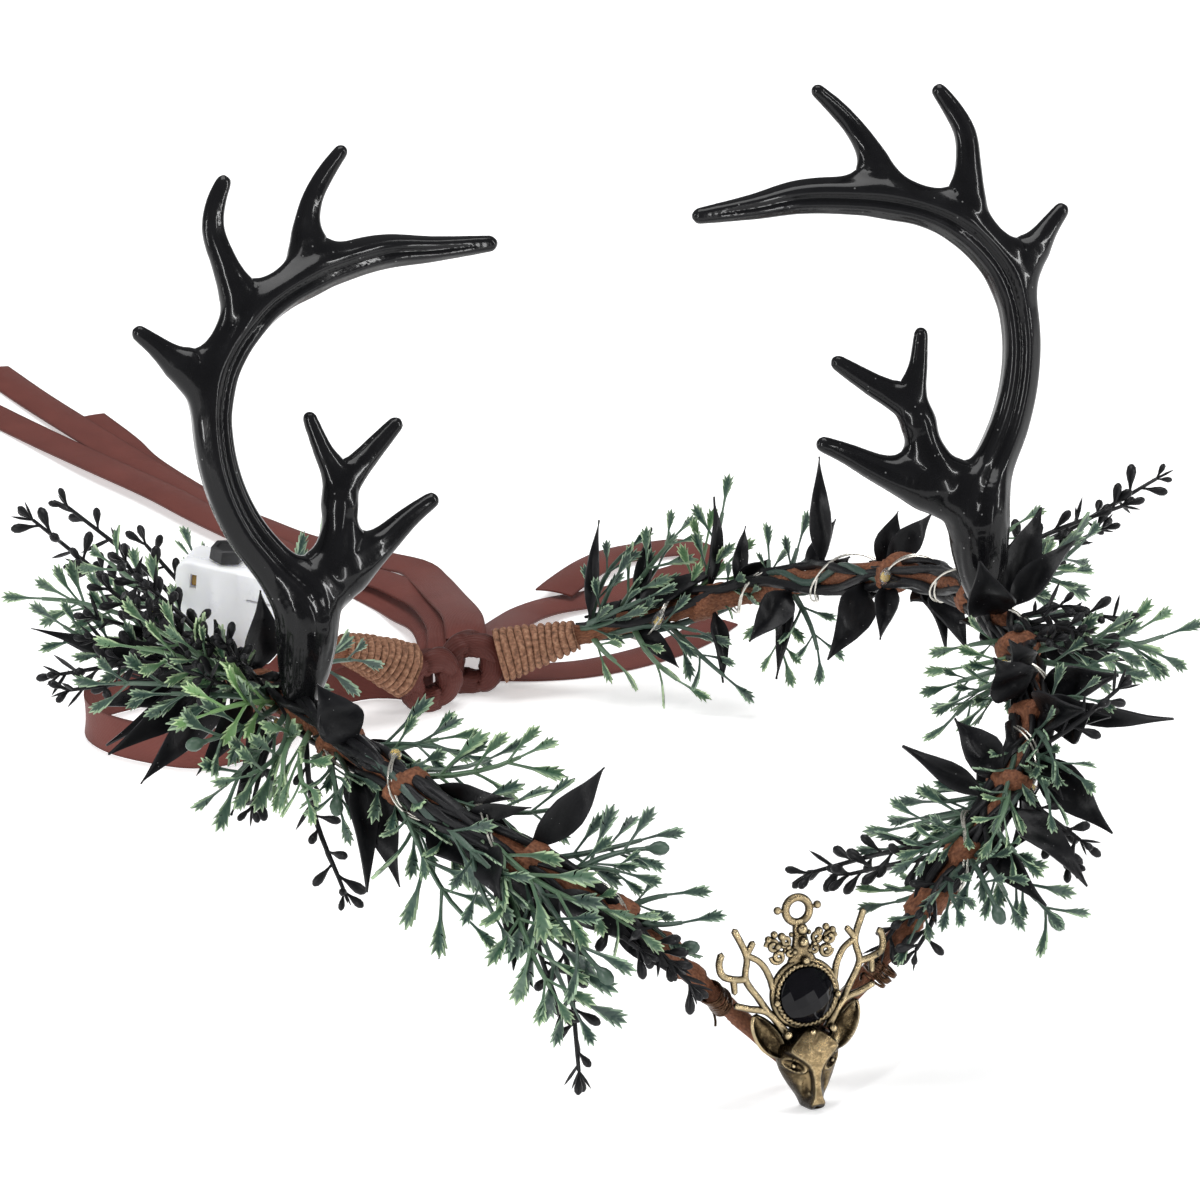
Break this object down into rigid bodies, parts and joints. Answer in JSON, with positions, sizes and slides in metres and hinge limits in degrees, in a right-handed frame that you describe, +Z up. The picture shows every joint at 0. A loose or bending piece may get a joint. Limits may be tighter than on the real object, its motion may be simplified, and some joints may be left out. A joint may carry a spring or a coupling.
{
  "type": "antler crown headpiece",
  "caption": "Woodland crown: a wrapped wire ring dipping to a V at the brow, with black antlers, fern and berry sprigs, a bronze deer-head charm, a light string and satin ties.",
  "frame": {"origin": "centre of the crown's box at floor level, measured without the ribbons", "axes": "+Z up, -Y towards the wearer's front, +X towards the right in a view of the front"},
  "size_m": [0.2648, 0.4854, 0.1806],
  "materials": {
    "bark_tape": "matte wrinkled paper tape",
    "antler_black": "glossy moulded resin",
    "bronze": "antiqued, dark in the recesses",
    "black_stone": "polished facets",
    "tie_wire": "dull copper-brown wire",
    "box_plastic": "translucent moulded",
    "button_black": "moulded",
    "ribbon_satin": "satin weave",
    "twine": "waxed twine",
    "silver_wire": "thin enamelled wire with clear drops",
    "fern_green": "satin moulded",
    "leaf_black": "satin moulded"
  },
  "bodies": {
    "root": {"branch_left": "bark_tape", "branch_right": "bark_tape", "end_loop_left": "ribbon_satin", "end_loop_right": "ribbon_satin", "end_binding_left": "twine", "end_binding_right": "twine", "antler_left": "antler_black", "antler_right": "antler_black", "pendant": "bronze", "pendant_stone": "black_stone", "pendant_tie_left": "tie_wire", "pendant_tie_right": "tie_wire", "battery_box": "box_plastic", "battery_button": "button_black", "light_wire": "silver_wire", "ribbon_tail_long": "ribbon_satin", "ribbon_tail_low": "ribbon_satin", "ribbon_tail_short": "ribbon_satin", "ribbon_loop_left": "ribbon_satin", "ribbon_loop_right": "ribbon_satin", "ribbon_under": "ribbon_satin", "berry_spray_left_1": "leaf_black", "berry_spray_left_2": "leaf_black", "berry_spray_left_3": "leaf_black", "berry_spray_left_4": "leaf_black", "berry_spray_left_5": "leaf_black", "berry_spray_left_6": "leaf_black", "berry_spray_right_1": "leaf_black", "berry_spray_right_2": "leaf_black", "berry_spray_right_3": "leaf_black", "berry_spray_right_4": "leaf_black", "leaf_sprig_left_1": "leaf_black", "leaf_sprig_left_2": "leaf_black", "leaf_sprig_left_3": "leaf_black", "leaf_sprig_left_4": "leaf_black", "leaf_sprig_right_1": "leaf_black", "leaf_sprig_right_2": "leaf_black", "leaf_sprig_right_3": "leaf_black", "leaf_sprig_right_4": "leaf_black", "leaf_sprig_right_5": "leaf_black", "leaf_sprig_right_6": "leaf_black", "leaf_sprig_right_7": "leaf_black", "fern_sprig_left_1": "fern_green", "fern_sprig_left_2": "fern_green", "fern_sprig_left_3": "fern_green", "fern_sprig_left_4": "fern_green", "fern_sprig_left_5": "fern_green", "fern_sprig_left_6": "fern_green", "fern_sprig_left_7": "fern_green", "fern_sprig_left_8": "fern_green", "fern_sprig_left_9": "fern_green", "fern_sprig_right_1": "fern_green", "fern_sprig_right_2": "fern_green", "fern_sprig_right_3": "fern_green", "fern_sprig_right_4": "fern_green", "fern_sprig_right_5": "fern_green", "fern_sprig_right_6": "fern_green", "fern_sprig_right_7": "fern_green", "fern_sprig_right_8": "fern_green", "fern_sprig_right_9": "fern_green"}
  },
  "joints": []
}
